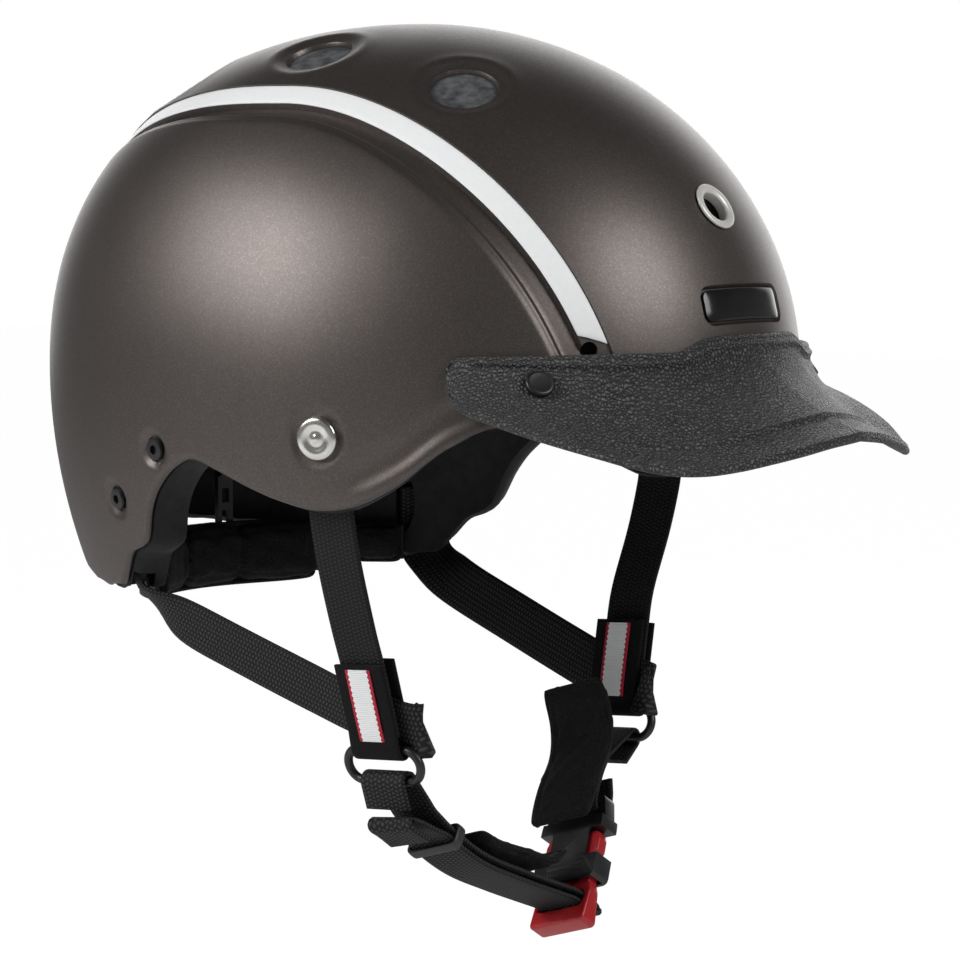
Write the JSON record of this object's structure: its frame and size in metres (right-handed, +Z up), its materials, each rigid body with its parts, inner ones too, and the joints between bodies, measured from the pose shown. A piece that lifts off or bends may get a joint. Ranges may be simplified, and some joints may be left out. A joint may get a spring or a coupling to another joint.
{
  "type": "riding helmet",
  "caption": "Child's riding helmet: matte shell with raised centre panel and pale stripes, round top vents, soft visor, foam liner, dial-fit nape cradle and a buckled webbing harness.",
  "frame": {"origin": "centre of the head opening at the brow line, on the mid-plane, where the head's widest level sits", "axes": "+Z up, -Y to the front where the visor is, +X to the wearer's left"},
  "size_m": [0.2018, 0.2912, 0.2905],
  "materials": {
    "shell_paint": "matte metallic brown-grey paint on a moulded shell",
    "foam": "grey speckled expanded foam",
    "reflective": "pale reflective tape",
    "bright_metal": "polished pale metal",
    "gloss_black": "glossy black, bare",
    "visor_rubber": "charcoal, leather-grained flexible moulding",
    "black_plastic": "satin black plastic",
    "pad_cloth": "black padded cloth",
    "webbing": "black woven webbing",
    "ribbon": "white woven ribbon with red edges, bare",
    "keeper_rubber": "black rubber",
    "red_plastic": "red satin plastic"
  },
  "bodies": {
    "helmet": {"outer_shell": "shell_paint", "impact_liner": "foam", "stripe_left": "reflective", "stripe_right": "reflective", "front_eyelet": "bright_metal", "badge_plate": "gloss_black", "visor": "visor_rubber", "visor_pins": "black_plastic", "side_rivets": "bright_metal", "rivet_washers": "bright_metal", "anchor_screws": "black_plastic", "anchor_nuts": "bright_metal", "brow_pad": "pad_cloth", "crown_pad": "pad_cloth", "side_pads": "pad_cloth", "front_strap_ends": "webbing", "rear_strap_ends": "webbing", "cradle_bracket": "black_plastic"},
    "cradle": {"cradle_frame": "black_plastic", "nape_pad": "pad_cloth", "dial_housing": "black_plastic", "dial_cover": "black_plastic"},
    "dial": {"dial_knob": "black_plastic", "dial_pinion": "bright_metal"},
    "band_left": {"fit_band_left": "black_plastic", "wing_pad_left": "pad_cloth"},
    "band_right": {"fit_band_right": "black_plastic", "wing_pad_right": "pad_cloth"},
    "harness_left": {"front_strap_left": "webbing", "rear_strap_left": "webbing", "strap_sleeve_left": "webbing", "strap_label_left": "ribbon", "strap_ring_left": "black_plastic", "chin_webbing_left": "webbing", "chin_sleeve": "pad_cloth", "buckle_female": "black_plastic"},
    "harness_right": {"front_strap_right": "webbing", "rear_strap_right": "webbing", "strap_sleeve_right": "webbing", "strap_label_right": "ribbon", "strap_ring_right": "black_plastic"},
    "chin_strap": {"chin_webbing_right": "webbing", "chin_pad": "pad_cloth", "buckle_male": "red_plastic"},
    "keeper": {"strap_keeper": "keeper_rubber"}
  },
  "joints": [
    {"name": "cradle_tilt", "type": "hinge", "parent": "helmet", "child": "cradle", "pos_m": [0, 0.0965, -0.033], "axis": [1, 0, 0], "range_deg": [-8, 3]},
    {"name": "dial_turn", "type": "hinge", "parent": "cradle", "child": "dial", "pos_m": [0, 0.1, -0.066], "axis": [0, -1, 0], "range_deg": [-40, 120]},
    {"name": "band_left_slide", "type": "hinge", "parent": "cradle", "child": "band_left", "pos_m": [0, 0.028, -0.066], "axis": [0, 0, 1], "range_deg": [-3, 9]},
    {"name": "band_right_slide", "type": "hinge", "parent": "cradle", "child": "band_right", "pos_m": [0, 0.028, -0.066], "axis": [0, 0, 1], "range_deg": [-9, 3]},
    {"name": "harness_right_swing", "type": "hinge", "parent": "helmet", "child": "harness_right", "pos_m": [-0.085, -0.032, -0.0394], "axis": [0.1334, 0.9496, -0.2838], "range_deg": [0, 15]},
    {"name": "harness_left_swing", "type": "hinge", "parent": "helmet", "child": "harness_left", "pos_m": [0.085, -0.032, -0.0394], "axis": [0.1334, -0.9496, 0.2838], "range_deg": [0, 6]},
    {"name": "chin_strap_swing", "type": "hinge", "parent": "harness_right", "child": "chin_strap", "pos_m": [-0.05945, -0.03267, -0.12292], "axis": [0, 0.9986, -0.0523], "range_deg": [0, 60]},
    {"name": "keeper_slide", "type": "slide", "parent": "chin_strap", "child": "keeper", "axis": [0.7513, -0.1819, -0.6344], "range_m": [-0.003, 0.004]}
  ],
  "couplings": [
    {"joint": "band_left_slide", "follows": "dial_turn", "ratio": 0.071788},
    {"joint": "band_right_slide", "follows": "dial_turn", "ratio": -0.071788},
    {"joint": "harness_right_swing", "follows": "chin_strap_swing", "ratio": 0.25},
    {"joint": "harness_left_swing", "follows": "chin_strap_swing", "ratio": 0.1}
  ]
}
